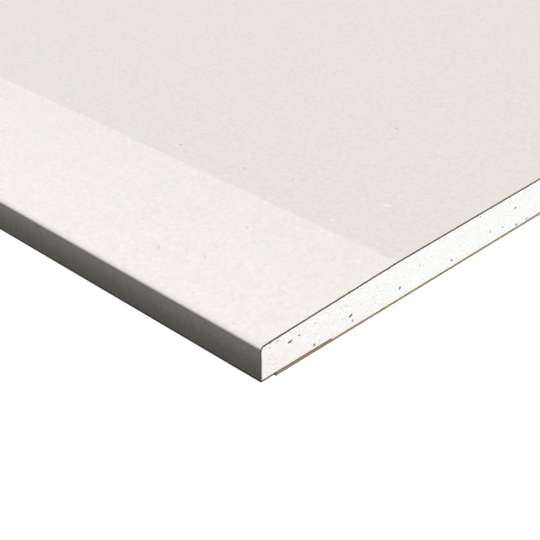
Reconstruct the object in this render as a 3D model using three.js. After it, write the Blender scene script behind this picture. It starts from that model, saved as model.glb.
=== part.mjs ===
// Drywall sheet: a tapered-edge gypsum board, lying face up.
//
// A gypsum core is cast between two papers. The face paper covers the face, is folded round both long
// edges and comes back a little way under the board. The back paper is laid over those two flaps and
// stops just short of the edges. Both short ends are cut square, so they show the core and every paper.
//
// Millimetres. +Y runs along the tapered edges, +X across them and +Z from the back to the face.
// The origin is the middle of the sheet, on the plane that its back rests on.
import * as THREE from "three";

// The sheet as it is sold.
const BOARD_WIDTH = 1200;
const BOARD_LENGTH = 2400;
const BOARD_THICKNESS = 12.5;

// The papers. The flap is what the face paper has under the board, measured in from the edge.
const FACE_PAPER_THICKNESS = 0.6;
const BACK_PAPER_THICKNESS = 0.7;
const FLAP_WIDTH = 25;
const BACK_PAPER_SETBACK = 5;

// The tapered edge. The face falls from a crease to the shoulder, where the joint compound goes.
const TAPER_WIDTH = 50;
const TAPER_DEPTH = 1.4;
const EDGE_LEAN = THREE.MathUtils.degToRad(3.3); // the edge leans in from its foot to its shoulder
const SHOULDER_RADIUS = 1.5; // outside of the fold from the face to the edge
const FOOT_RADIUS = 0.3; // outside of the fold from the edge to the flap

const ARC_STEP = THREE.MathUtils.degToRad(15); // the most that one facet of a fold turns

// The face paper's outer line from the left flap's end round to the right flap's end, as corners with
// the radius of the fold at each. The board is on its right-hand side all the way. The foot's corner is
// set out past the edge by as much as its fold takes off, so that the fold itself reaches the edge.
function wrapCorners() {
  const edge = BOARD_WIDTH / 2;
  const shoulderHeight = BOARD_THICKNESS - TAPER_DEPTH;
  const footX = -edge - FOOT_RADIUS * (Math.tan((Math.PI / 2 + EDGE_LEAN) / 2) - 1);
  const shoulderX = footX + (shoulderHeight - BACK_PAPER_THICKNESS) * Math.tan(EDGE_LEAN);
  const leftHalf = [
    { x: FLAP_WIDTH - edge, z: BACK_PAPER_THICKNESS, radius: 0 },
    { x: footX, z: BACK_PAPER_THICKNESS, radius: FOOT_RADIUS },
    { x: shoulderX, z: shoulderHeight, radius: SHOULDER_RADIUS },
    { x: TAPER_WIDTH - edge, z: BOARD_THICKNESS, radius: 0 },
  ];
  const rightHalf = leftHalf.map(({ x, z, radius }) => ({ x: -x, z, radius })).reverse();
  return [...leftHalf, ...rightHalf];
}

// The line parallel to those corners at a depth inside the board, with its folds as arcs.
// Each corner moves along the bisector of its two sides, and an end moves square to its only side.
function wrapLine(depth) {
  const corners = wrapCorners().map(({ x, z, radius }) => ({ point: new THREE.Vector2(x, z), radius }));
  const sides = corners.slice(1).map(({ point }, i) => point.clone().sub(corners[i].point).normalize());
  return corners.flatMap(({ point, radius }, i) => {
    const before = sides[i - 1] ?? sides[i];
    const after = sides[i] ?? before;
    const inward = normalOf(before).add(normalOf(after));
    const corner = point.clone().addScaledVector(inward, (2 * depth) / inward.lengthSq());
    return foldArc(corner, before, after, Math.max(0, radius - depth));
  });
}

// The right-hand normal of a side.
function normalOf(side) {
  return new THREE.Vector2(side.y, -side.x);
}

// The arc that rounds a corner between two sides, with one point where there is no radius.
function foldArc(corner, before, after, radius) {
  if (radius === 0) return [corner];
  const turn = Math.acos(before.dot(after));
  const start = corner.clone().addScaledVector(before, -radius * Math.tan(turn / 2));
  const centre = start.clone().addScaledVector(normalOf(before), radius);
  const facets = Math.ceil(turn / ARC_STEP);
  return Array.from({ length: facets + 1 }, (_, i) =>
    start.clone().rotateAround(centre, (-turn * i) / facets));
}

// The face paper's section: its outer line, and back along its inner one.
function facePaperSection() {
  return [...wrapLine(0), ...wrapLine(FACE_PAPER_THICKNESS).reverse()];
}

// The core's section: it fills the wrap, and steps down to the back paper between the two flaps.
function coreSection() {
  const flapEnd = BOARD_WIDTH / 2 - FLAP_WIDTH;
  return [
    ...wrapLine(FACE_PAPER_THICKNESS),
    new THREE.Vector2(flapEnd, BACK_PAPER_THICKNESS),
    new THREE.Vector2(-flapEnd, BACK_PAPER_THICKNESS),
  ];
}

// The back paper's section: a flat strip under the flaps and the core.
function backPaperSection() {
  const reach = BOARD_WIDTH / 2 - BACK_PAPER_SETBACK;
  return [
    new THREE.Vector2(-reach, 0),
    new THREE.Vector2(-reach, BACK_PAPER_THICKNESS),
    new THREE.Vector2(reach, BACK_PAPER_THICKNESS),
    new THREE.Vector2(reach, 0),
  ];
}

// A piece that has the same section all along the board, between the two cut ends.
function boardPiece(name, section, finish) {
  const options = { depth: BOARD_LENGTH, bevelEnabled: false };
  const geometry = new THREE.ExtrudeGeometry(new THREE.Shape(section), options);
  geometry.translate(0, 0, -BOARD_LENGTH / 2);
  geometry.rotateX(Math.PI / 2);
  const piece = new THREE.Mesh(geometry, new THREE.MeshStandardMaterial({ ...finish, metalness: 0 }));
  piece.name = name;
  return piece;
}

const board = new THREE.Group();
board.name = "drywall_sheet";
board.add(
  boardPiece("gypsum_core", coreSection(), { color: 0xf8f6f3, roughness: 0.95 }),
  boardPiece("face_paper", facePaperSection(), { color: 0xebe6df, roughness: 0.85 }),
  boardPiece("back_paper", backPaperSection(), { color: 0x9a8d7c, roughness: 0.9 }),
);

export default board;
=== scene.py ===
"""Drywall sheet, dressed: a gypsum core between a wrapped ivory face paper and a brown back paper.

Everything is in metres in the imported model's frame: +Y runs along the tapered edges, +X across them
and +Z from the back to the face. The sheet lies face up on the floor at Z = 0. What the finishes show
is worked out in millimetres.
"""
import logging
import math
from abc import ABC, abstractmethod
from collections.abc import Iterable
from dataclasses import astuple, dataclass
from enum import Enum
from typing import ClassVar

import bpy
import numpy as np
from mathutils import Matrix, Vector


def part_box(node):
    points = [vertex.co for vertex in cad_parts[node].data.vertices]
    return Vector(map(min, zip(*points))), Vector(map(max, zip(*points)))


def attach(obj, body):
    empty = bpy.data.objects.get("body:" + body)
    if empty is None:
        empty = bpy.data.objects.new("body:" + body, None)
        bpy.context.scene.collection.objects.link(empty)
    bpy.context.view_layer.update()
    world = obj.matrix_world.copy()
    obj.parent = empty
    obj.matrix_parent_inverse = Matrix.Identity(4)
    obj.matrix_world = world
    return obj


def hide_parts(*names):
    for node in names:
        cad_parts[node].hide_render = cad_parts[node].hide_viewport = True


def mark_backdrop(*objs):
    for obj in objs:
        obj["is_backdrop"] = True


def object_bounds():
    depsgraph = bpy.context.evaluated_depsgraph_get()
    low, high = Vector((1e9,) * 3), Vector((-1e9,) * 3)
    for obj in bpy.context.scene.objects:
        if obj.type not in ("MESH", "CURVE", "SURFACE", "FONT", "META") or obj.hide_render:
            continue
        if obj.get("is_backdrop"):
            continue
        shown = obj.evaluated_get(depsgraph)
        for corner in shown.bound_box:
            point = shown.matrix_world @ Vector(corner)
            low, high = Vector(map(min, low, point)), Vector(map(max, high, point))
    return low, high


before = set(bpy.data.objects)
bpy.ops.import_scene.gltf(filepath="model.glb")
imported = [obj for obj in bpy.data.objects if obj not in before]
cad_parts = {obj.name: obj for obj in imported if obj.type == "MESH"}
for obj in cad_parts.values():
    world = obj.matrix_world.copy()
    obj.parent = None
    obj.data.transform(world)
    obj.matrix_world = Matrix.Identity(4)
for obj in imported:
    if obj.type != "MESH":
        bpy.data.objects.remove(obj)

Piece = bpy.types.Object
Material = bpy.types.Material
Tree = bpy.types.NodeTree
Socket = bpy.types.NodeSocket
Colour = tuple[float, float, float, float]
Inputs = dict[int | str, object]  # a socket or a plain value for each input, by its number or name

MM = 0.001
WHITE: Colour = (1.0, 1.0, 1.0, 1.0)
CAD_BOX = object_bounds()
log = logging.getLogger("drywall_sheet")


# ---- Sizes and named choices ----


@dataclass(frozen=True)
class BoardSizes:
    """The sheet's driving sizes in metres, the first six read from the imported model."""

    width: float
    length: float
    thickness: float
    face_paper: float
    back_paper: float
    setback: float
    flap: float = 25 * MM
    taper_width: float = 50 * MM
    taper_depth: float = 1.4 * MM
    edge_lean: float = math.radians(3.3)
    shoulder_radius: float = 1.5 * MM
    foot_radius: float = 0.3 * MM

    @classmethod
    def from_frame(cls) -> "BoardSizes":
        """Reads the overall size and the papers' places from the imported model.

        Returns:
            The sizes of the sheet.
        """
        low, high = CAD_BOX
        core_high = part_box("gypsum_core")[1]
        back_low, back_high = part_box("back_paper")
        return cls(
            width=high.x - low.x,
            length=high.y - low.y,
            thickness=high.z,
            face_paper=high.z - core_high.z,
            back_paper=back_high.z,
            setback=back_low.x - low.x,
        )


class Stretch(Enum):
    """The stretches of the face paper's wrap, from its flap's end up to the middle of the face."""

    FLAP = "flap"
    FOOT = "foot"
    EDGE = "edge"
    SHOULDER = "shoulder"
    TAPER = "taper"
    FIELD = "field"


Stations = dict[Stretch, np.ndarray]  # the shares, from 0 to 1, at which each stretch has its points


class End(Enum):
    """The two cut ends, by the side of the origin that they lie on."""

    NEAR = -1
    FAR = 1


class Fade(Enum):
    """How a tone comes in: softly at both ends, or evenly all the way."""

    SOFT = "SMOOTHSTEP"
    EVEN = "LINEAR"


# ---- Numpy helpers ----


def graded(length: float, fine: float, coarse: float, reach: float, growth: float = 1.12) -> np.ndarray:
    """Places stations along a length: evenly at first, then each step a share longer, up to a coarse step.

    Args:
        length: how far the stations go.
        fine: the first steps' length.
        coarse: the longest step.
        reach: how far the fine steps go.
        growth: how much longer each later step is than the one before.

    Returns:
        Rising distances from 0 to the length, both included. The last step is at least half of a full one.
    """
    most_growths = 200  # the step is coarse long before that, and the power stays finite
    late = np.clip(np.arange(int(length / fine) + 2) - int(reach / fine), 0, most_growths)
    steps = np.minimum(coarse, fine * growth ** late)
    places = np.concatenate([[0.0], np.cumsum(steps)])
    full_step = steps[np.searchsorted(places, length) - 1]
    return np.concatenate([places[places < length - full_step / 2], [length]])


def run_length(line: np.ndarray) -> np.ndarray:
    """Adds up the length of a polyline from its start to each of its points."""
    return np.concatenate([[0.0], np.cumsum(np.linalg.norm(np.diff(line, axis=0), axis=1))])


def along(line: np.ndarray, distances: np.ndarray) -> np.ndarray:
    """Finds the points of a polyline, one a row, that lie at the given distances from its start."""
    reached = run_length(line)
    return np.stack([np.interp(distances, reached, axis) for axis in line.T], axis=1)


def smooth_noise(a: np.ndarray, b: np.ndarray, cell: float, seed: int) -> np.ndarray:
    """Value noise: random numbers on a square lattice, blended between lattice points by 3t^2 - 2t^3.

    Args:
        a: first coordinate.
        b: second coordinate, of the same shape.
        cell: lattice spacing, in the coordinates' unit.
        seed: picks the random numbers.

    Returns:
        Numbers from 0 to 1, of the coordinates' shape.
    """
    period = 512  # lattice points each way before the noise repeats
    lattice = np.random.default_rng(seed).random((period, period))
    column, row = np.floor(a / cell).astype(int), np.floor(b / cell).astype(int)
    s, t = a / cell - column, b / cell - row
    s, t = s * s * (3 - 2 * s), t * t * (3 - 2 * t)
    low, high = (
        lattice[column % period, k % period] * (1 - s) + lattice[(column + 1) % period, k % period] * s
        for k in (row, row + 1)
    )
    return low * (1 - t) + high * t


def scattered_pits(
    x: np.ndarray, z: np.ndarray, cell: float, radius: float, share: float, seed: int
) -> np.ndarray:
    """Round pits scattered one to a cell: the bowl 1 - (distance / radius)^2 of whichever pit is deepest.

    Args:
        x: first coordinate.
        z: second coordinate, of the same shape.
        cell: side of a cell, in the coordinates' unit.
        radius: the largest pit's radius; each pit has a random share of it.
        share: how many of the cells have a pit, from 0 to 1.
        seed: picks the places and sizes.

    Returns:
        Depths from 0 to 1, of the coordinates' shape.
    """
    period = 256  # cells each way before the pits repeat
    smallest, shallowest = 0.35, 0.4  # shares of the largest pit's radius and depth
    shift_x, shift_z, scale, chosen = np.random.default_rng(seed).random((4, period, period))
    column, row = np.floor(x / cell).astype(int), np.floor(z / cell).astype(int)
    depth = np.zeros_like(x)
    for i in (column - 1, column, column + 1):
        for j in (row - 1, row, row + 1):
            key = (i % period, j % period)
            centre_x, centre_z = (i + shift_x[key]) * cell, (j + shift_z[key]) * cell
            reach = radius * (smallest + (1 - smallest) * scale[key] ** 2)
            away = ((x - centre_x) ** 2 + (z - centre_z) ** 2) / reach ** 2
            bowl = np.where(chosen[key] < share, np.clip(1 - away, 0, 1), 0)
            depth = np.maximum(depth, bowl * (shallowest + (1 - shallowest) * scale[key]))
    return depth


def grid_quads(index: np.ndarray, closed: bool = False) -> np.ndarray:
    """Joins a grid of vertex numbers by four-sided faces.

    Args:
        index: vertex numbers, rows by columns. The faces turn from row to column by the right-hand rule.
        closed: also joins the last column to the first.

    Returns:
        One row of four vertex numbers for each face.
    """
    if closed:
        index = np.concatenate([index, index[:, :1]], axis=1)
    corners = [index[:-1, :-1], index[1:, :-1], index[1:, 1:], index[:-1, 1:]]
    return np.stack([c.ravel() for c in corners], axis=1)


def slab_quads(shape: tuple[int, ...]) -> tuple[np.ndarray, np.ndarray]:
    """Closes a slab between two grids of one shape, whose vertices are numbered one grid after the other.

    Args:
        shape: the rows and columns of each grid.

    Returns:
        The faces of both grids, turned away from each other, and those of the wall between their rims.
    """
    index = np.arange(math.prod(shape)).reshape(shape)
    rim = np.concatenate([index[0, :-1], index[:-1, -1], index[-1, :0:-1], index[:0:-1, 0]])
    sheets = np.concatenate([grid_quads(index)[:, ::-1], grid_quads(index + index.size)])
    return sheets, grid_quads(np.stack([rim, rim + index.size]), closed=True)


# ---- The wrapped section ----


@dataclass(frozen=True)
class Landmarks:
    """Places on the way round the sheet's outside, in millimetres from the middle of the face."""

    crease: float
    shoulder: float  # the lower end of the shoulder's fold
    foot: float  # the upper end of the foot's fold


@dataclass(frozen=True)
class Wrap:
    """The line that the face paper follows round the board, at any depth under its outer surface."""

    sizes: BoardSizes
    # So many points on a fold that its facets don't show, and the fewest on a straight stretch.
    foot_points: int = 7
    shoulder_points: int = 11
    fewest_points: int = 8
    field_step: float = 20 * MM  # the longest

    # Each straight stretch of the left half, with the fold that it runs into.
    STRETCHES: ClassVar = (
        (Stretch.FLAP, Stretch.FOOT),
        (Stretch.EDGE, Stretch.SHOULDER),
        (Stretch.TAPER, None),
        (Stretch.FIELD, None),
    )

    def corners(self) -> tuple[np.ndarray, np.ndarray]:
        """Gives the left half's corners: flap end, foot, shoulder, crease and the middle of the face.

        The foot's corner stands out past the edge by as much as its fold takes off.

        Returns:
            The corners as x and z, and the fold's radius at each.
        """
        s = self.sizes
        edge = s.width / 2
        shoulder_height = s.thickness - s.taper_depth
        foot_x = -edge - s.foot_radius * (math.tan((math.pi / 2 + s.edge_lean) / 2) - 1)
        shoulder_x = foot_x + (shoulder_height - s.back_paper) * math.tan(s.edge_lean)
        points = np.array([
            [s.flap - edge, s.back_paper],
            [foot_x, s.back_paper],
            [shoulder_x, shoulder_height],
            [s.taper_width - edge, s.thickness],
            [0.0, s.thickness],
        ])
        return points, np.array([0.0, s.foot_radius, s.shoulder_radius, 0.0, 0.0])

    def half(self, depth: float, stations: Stations) -> np.ndarray:
        """Works out the left half of the line at a depth, from the flap's end to the middle of the face.

        Each side moves inwards by the depth, neighbours meet on their bisector, and each fold is an arc
        whose radius is the outer one less the depth.

        Args:
            depth: how far under the outer surface the line lies.
            stations: where the points are.

        Returns:
            Points as x and z, one a row.
        """
        points, radii = self.corners()
        sides = np.diff(points, axis=0)
        sides /= np.linalg.norm(sides, axis=1)[:, None]
        normals = np.stack([sides[:, 1], -sides[:, 0]], axis=1)
        inward = np.concatenate([normals[:1], normals]) + np.concatenate([normals, normals[-1:]])
        points = points + inward * (2 * depth / np.sum(inward ** 2, axis=1))[:, None]
        pieces = []
        start = points[0]
        for k, (line, fold) in enumerate(self.STRETCHES, start=1):
            radius = max(0.0, radii[k] - depth) if fold else 0.0
            turn = math.acos(float(sides[k - 1] @ sides[k])) if fold else 0.0
            stop = points[k] - sides[k - 1] * radius * math.tan(turn / 2)
            pieces.append(start + stations[line][:, None] * (stop - start))
            if fold:
                pieces.append(self.arc(stop, normals[k - 1], radius, turn, stations[fold]))
            start = pieces[-1][-1]
        return np.concatenate([pieces[0]] + [piece[1:] for piece in pieces[1:]])

    @staticmethod
    def arc(
        start: np.ndarray, inward: np.ndarray, radius: float, turn: float, shares: np.ndarray
    ) -> np.ndarray:
        """Turns a point round a fold's centre, clockwise.

        Args:
            start: where the fold begins.
            inward: unit vector from there to the fold's centre.
            radius: the fold's radius.
            turn: how far the whole fold turns, in radians.
            shares: the shares of the turn, from 0 to 1, at which points are wanted.

        Returns:
            Points as x and z, one a row.
        """
        spoke = -inward * radius
        angle = -turn * shares
        x = spoke[0] * np.cos(angle) - spoke[1] * np.sin(angle)
        z = spoke[0] * np.sin(angle) + spoke[1] * np.cos(angle)
        return start + inward * radius + np.stack([x, z], axis=1)

    def whole(self, depth: float, left: Stations, right: Stations) -> np.ndarray:
        """Works out the whole line at a depth, as x and z, from the left flap's end to the right one's."""
        right_half = self.half(depth, right)[::-1] * (-1, 1)
        return np.concatenate([self.half(depth, left), right_half[1:]])

    def stations(self, fine: float, reach: float) -> Stations:
        """Chooses the points of each stretch of a half.

        Args:
            fine: spacing along the straight stretches, in metres.
            reach: how far onto the field that spacing goes, in metres.

        Returns:
            The stations.
        """
        s = self.sizes
        field = s.width / 2 - s.taper_width
        lengths = {Stretch.FLAP: s.flap, Stretch.EDGE: s.thickness, Stretch.TAPER: s.taper_width}
        counts = {line: max(self.fewest_points, round(length / fine)) for line, length in lengths.items()}
        counts |= {Stretch.FOOT: self.foot_points, Stretch.SHOULDER: self.shoulder_points}
        shares = {stretch: np.linspace(0, 1, count) for stretch, count in counts.items()}
        return shares | {Stretch.FIELD: graded(field, fine, self.field_step, reach) / field}

    @staticmethod
    def bare_stations(fold_points: int) -> Stations:
        """Chooses the fewest points that keep the outline: each line's ends, and so many on each fold."""
        ends = {stretch: np.array([0.0, 1.0]) for stretch in Stretch}
        return ends | dict.fromkeys((Stretch.FOOT, Stretch.SHOULDER), np.linspace(0, 1, fold_points))

    def landmarks(self) -> Landmarks:
        """Measures the way round the outer line, from the middle of the face.

        Returns:
            How far round the crease, the shoulder's lower end and the foot's upper end lie.
        """
        fold_points = 33  # enough for the chords to be as long as the arc
        reached = run_length(self.half(0.0, self.bare_stations(fold_points))[::-1]) / MM
        return Landmarks(*reached[[1, 1 + fold_points, 2 + fold_points]].tolist())


# ---- Meshes and nodes ----


def make_piece(
    name: str, points: np.ndarray, faces: list[np.ndarray], finishes: list[Material]
) -> Piece:
    """Makes an object at the origin from whole arrays.

    Args:
        name: the object's name.
        points: vertices, one a row.
        faces: one array of four-sided faces for each finish.
        finishes: the materials, in the order of the face arrays.

    Returns:
        The linked object.
    """
    sharp = math.radians(35)  # past this angle two faces meet in a hard edge
    quads = np.concatenate(faces)
    mesh = bpy.data.meshes.new(name)
    mesh.vertices.add(len(points))
    mesh.vertices.foreach_set("co", points.astype(np.float32).ravel())
    mesh.loops.add(quads.size)
    mesh.loops.foreach_set("vertex_index", quads.astype(np.int32).ravel())
    mesh.polygons.add(len(quads))
    mesh.polygons.foreach_set("loop_start", np.arange(0, quads.size, quads.shape[1], dtype=np.int32))
    slots = np.concatenate([np.full(len(f), k, np.int32) for k, f in enumerate(faces)])
    for finish in finishes:
        mesh.materials.append(finish)
    mesh.polygons.foreach_set("material_index", slots)
    mesh.polygons.foreach_set("use_smooth", np.ones(len(quads), bool))
    mesh.update(calc_edges=True)
    mesh.validate()
    mesh.set_sharp_from_angle(angle=sharp)
    piece = bpy.data.objects.new(name, mesh)
    bpy.context.scene.collection.objects.link(piece)
    return piece


def set_uv(piece: Piece, layer: str, uv: np.ndarray) -> None:
    """Gives a piece a UV map from one coordinate pair for each vertex.

    Args:
        piece: the object.
        layer: the map's name.
        uv: coordinates, one row for each vertex.
    """
    mesh = piece.data
    corner_vertex = np.zeros(len(mesh.loops), np.int32)
    mesh.loops.foreach_get("vertex_index", corner_vertex)
    mesh.uv_layers.new(name=layer).data.foreach_set("uv", uv[corner_vertex].astype(np.float32).ravel())


def set_attribute(piece: Piece, name: str, values: np.ndarray) -> None:
    """Stores one number for each vertex of a piece under a name that its material reads."""
    piece.data.attributes.new(name, "FLOAT", "POINT").data.foreach_set("value", values.astype(np.float32))


def linear(hex_colour: str) -> Colour:
    """Turns an sRGB value into linear light: v / 12.92 in the darkest tones, else ((v + 0.055) / 1.055)^2.4.

    Args:
        hex_colour: six hex digits.

    Returns:
        Red, green, blue and an alpha of 1.
    """
    channels = np.array([*bytes.fromhex(hex_colour)]) / 255
    light = np.where(channels <= 0.04045, channels / 12.92, ((channels + 0.055) / 1.055) ** 2.4)
    return (*map(float, light), 1.0)


def add(tree: Tree, kind: str, links: Inputs | None = None, **settings: object) -> bpy.types.Node:
    """Adds one shader node.

    Args:
        tree: the node tree.
        kind: the node's type name, after ShaderNode.
        links: what its inputs take.
        settings: the node's own properties.

    Returns:
        The node.
    """
    node = tree.nodes.new("ShaderNode" + kind)
    for name, value in settings.items():
        setattr(node, name, value)
    for key, source in (links or {}).items():
        if isinstance(source, Socket):
            tree.links.new(source, node.inputs[key])
        else:
            node.inputs[key].default_value = source
    return node


# ---- Patterns, by their real sizes in millimetres ----


@dataclass(frozen=True)
class Grain:
    """A surface's fine relief: lumps of one size and height, with finer octaves on them."""

    size: float
    octaves: float
    strength: float
    height: float
    harshness: float = 0.5  # how much of each octave the next one has

    def lumps(self, tree: Tree, place: Socket) -> Socket:
        """Works out how high the lumps stand, from 0 to 1, over a place in millimetres."""
        noise = {"Scale": 1 / self.size, "Detail": self.octaves, "Roughness": self.harshness}
        return add(tree, "TexNoise", {"Vector": place} | noise).outputs[0]

    def normal(self, tree: Tree, place: Socket) -> Socket:
        """Tilts the surface as the lumps over a place in millimetres do."""
        relief = {"Height": self.lumps(tree, place), "Distance": self.height * MM}
        return add(tree, "Bump", relief | {"Strength": self.strength}).outputs[0]


@dataclass(frozen=True)
class Mottle:
    """Cloudy blotches of one size, which scale a colour or say how much of another one shows."""

    size: tuple[float, float, float]
    octaves: float
    least: float
    most: float
    low: float = 0.3
    high: float = 0.7
    twist: float = 0.0  # how far the noise shifts its own place

    def layer(self, tree: Tree, place: Socket) -> Socket:
        """Works out the blotches: noise from low to high is spread from the least to the most.

        Args:
            tree: the node tree.
            place: coordinates in millimetres.

        Returns:
            The blotches' value.
        """
        counted = add(tree, "VectorMath", {0: place, 1: self.size}, operation="DIVIDE").outputs[0]
        blotches = {"Vector": counted, "Scale": 1.0, "Detail": self.octaves, "Distortion": self.twist}
        noise = add(tree, "TexNoise", blotches).outputs[0]
        spread = {0: noise, 1: self.low, 2: self.high, 3: self.least, 4: self.most}
        return add(tree, "MapRange", spread).outputs[0]


@dataclass(frozen=True)
class Fleck:
    """A fleck or fibre in a paper: a bent ellipse of one colour."""

    length: float
    width: float
    colour: str
    strength: float

    # The shares of the way out to its rim, squared, at which a fleck is at full strength and gone.
    CORE: ClassVar[float] = 0.1
    RIM: ClassVar[float] = 1.0

    def blot(self, tree: Tree, local: Socket, half_length: Socket | float, bend: Socket | float) -> Socket:
        """Works out an ellipse's cover: full in its middle, nothing from its rim outwards.

        With u along the ellipse and v across it, both in half sizes, the cover falls as
        u^2 + (v - bend u^2 / half width)^2 grows.

        Args:
            tree: the node tree.
            local: coordinates in millimetres from the ellipse's middle, along it and across it.
            half_length: half of its length.
            bend: how far its tips stand to the side.

        Returns:
            The cover, from 0 to the fleck's strength.
        """
        along_it, across_it, _ = add(tree, "SeparateXYZ", {0: local}).outputs
        u = add(tree, "Math", {0: along_it, 1: half_length}, operation="DIVIDE").outputs[0]
        u_squared = add(tree, "Math", {0: u, 1: u}, operation="MULTIPLY").outputs[0]
        curve = add(tree, "Math", {0: u_squared, 1: bend}, operation="MULTIPLY").outputs[0]
        side = add(tree, "Math", {0: across_it, 1: curve}, operation="SUBTRACT").outputs[0]
        v = add(tree, "Math", {0: side, 1: self.width / 2}, operation="DIVIDE").outputs[0]
        reach = add(tree, "Math", {0: v, 1: v, 2: u_squared}, operation="MULTIPLY_ADD").outputs[0]
        fade = {0: reach, 1: self.RIM, 2: self.CORE, 3: 0.0, 4: self.strength}
        return add(tree, "MapRange", fade).outputs[0]


@dataclass(frozen=True)
class Stray(Fleck):
    """Flecks or fibres of one kind, strewn one to a chosen cell of a grid, turned and bent at random."""

    spacing: float
    share: float
    shift: float = 0.0  # moves the grid, so that no two kinds share their cells

    # As shares: how far a stray stands off its cell's middle, the smallest one's size, the most it bends.
    SCATTER: ClassVar[float] = 0.8
    SMALLEST: ClassVar[float] = 0.45
    BEND: ClassVar[float] = 0.16

    def cover(self, tree: Tree, place: Socket) -> Socket:
        """Works out how much the strays cover.

        Args:
            tree: the node tree.
            place: coordinates in millimetres.

        Returns:
            The cover, from 0 to the strays' strength.
        """
        shifted = add(tree, "VectorMath", {0: place, 1: (self.shift,) * 3}, operation="ADD").outputs[0]
        grid = {"Vector": shifted, "Scale": 1 / self.spacing, "Randomness": self.SCATTER}
        cells = add(tree, "TexVoronoi", grid, voronoi_dimensions="2D")
        centre = cells.outputs["Position"]
        local = add(tree, "VectorMath", {0: shifted, 1: centre}, operation="SUBTRACT").outputs[0]
        chance, turn, scale = add(tree, "SeparateXYZ", {0: cells.outputs["Color"]}).outputs
        angle = add(tree, "Math", {0: turn, 1: math.pi}, operation="MULTIPLY").outputs[0]
        turning = {"Vector": local, "Angle": angle}
        turned = add(tree, "VectorRotate", turning, rotation_type="Z_AXIS").outputs[0]
        size = add(tree, "MapRange", {0: scale, 3: self.SMALLEST, 4: 1.0}).outputs[0]
        half = add(tree, "Math", {0: size, 1: self.length / 2}, operation="MULTIPLY").outputs[0]
        most_bend = self.BEND * self.length
        bend = add(tree, "MapRange", {0: scale, 3: -most_bend, 4: most_bend}).outputs[0]
        inside = self.blot(tree, turned, half, bend)
        chosen = add(tree, "Math", {0: chance, 1: self.share}, operation="LESS_THAN").outputs[0]
        return add(tree, "Math", {0: inside, 1: chosen}, operation="MULTIPLY").outputs[0]


@dataclass(frozen=True)
class Mark(Fleck):
    """One fleck or hair, by its place from the near left corner. It is turned by an angle in degrees."""

    across: float
    along: float
    turn: float = 50.0
    bend: float = 0.0

    def cover(self, tree: Tree, place: Socket, corner: tuple[float, float]) -> Socket:
        """Works out how much the mark covers.

        Args:
            tree: the node tree.
            place: coordinates in millimetres.
            corner: the near left corner's coordinates, in millimetres.

        Returns:
            The cover, from 0 to the mark's strength.
        """
        centre = (corner[0] + self.across, corner[1] + self.along, 0.0)
        local = add(tree, "VectorMath", {0: place, 1: centre}, operation="SUBTRACT").outputs[0]
        turning = {"Vector": local, "Angle": math.radians(-self.turn)}
        turned = add(tree, "VectorRotate", turning, rotation_type="Z_AXIS").outputs[0]
        return self.blot(tree, turned, self.length / 2, self.bend)


@dataclass(frozen=True)
class Tone:
    """A colour that comes in as a measure, such as a distance or an attribute, goes from start to stop."""

    start: float
    stop: float
    colour: str
    fade: Fade = Fade.SOFT
    least: float = 0.0
    most: float = 1.0

    def cover(self, tree: Tree, measure: Socket) -> Socket:
        """Works out how much of the tone shows, from the least to the most."""
        limits = {0: measure, 1: self.start, 2: self.stop, 3: self.least, 4: self.most}
        return add(tree, "MapRange", limits, interpolation_type=self.fade.value).outputs[0]


@dataclass(frozen=True)
class Speck:
    """Grey grains of one kind in the gypsum, one to a chosen cell of a grid."""

    spacing: float
    radius: float
    share: float
    strength: float

    CORE: ClassVar[float] = 0.3  # the share of its radius within which a grain is at full strength

    def cover(self, tree: Tree, place: Socket) -> Socket:
        """Works out how much the grains cover.

        Args:
            tree: the node tree.
            place: coordinates in millimetres.

        Returns:
            The cover, from 0 to the grains' strength.
        """
        rim = self.radius / self.spacing
        cells = add(tree, "TexVoronoi", {"Vector": place, "Scale": 1 / self.spacing})
        fade = {0: cells.outputs["Distance"], 1: rim, 2: self.CORE * rim, 3: 0.0, 4: self.strength}
        near = add(tree, "MapRange", fade).outputs[0]
        chance = add(tree, "SeparateXYZ", {0: cells.outputs["Color"]}).outputs[0]
        chosen = add(tree, "Math", {0: chance, 1: self.share}, operation="LESS_THAN").outputs[0]
        return add(tree, "Math", {0: near, 1: chosen}, operation="MULTIPLY").outputs[0]


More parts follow.
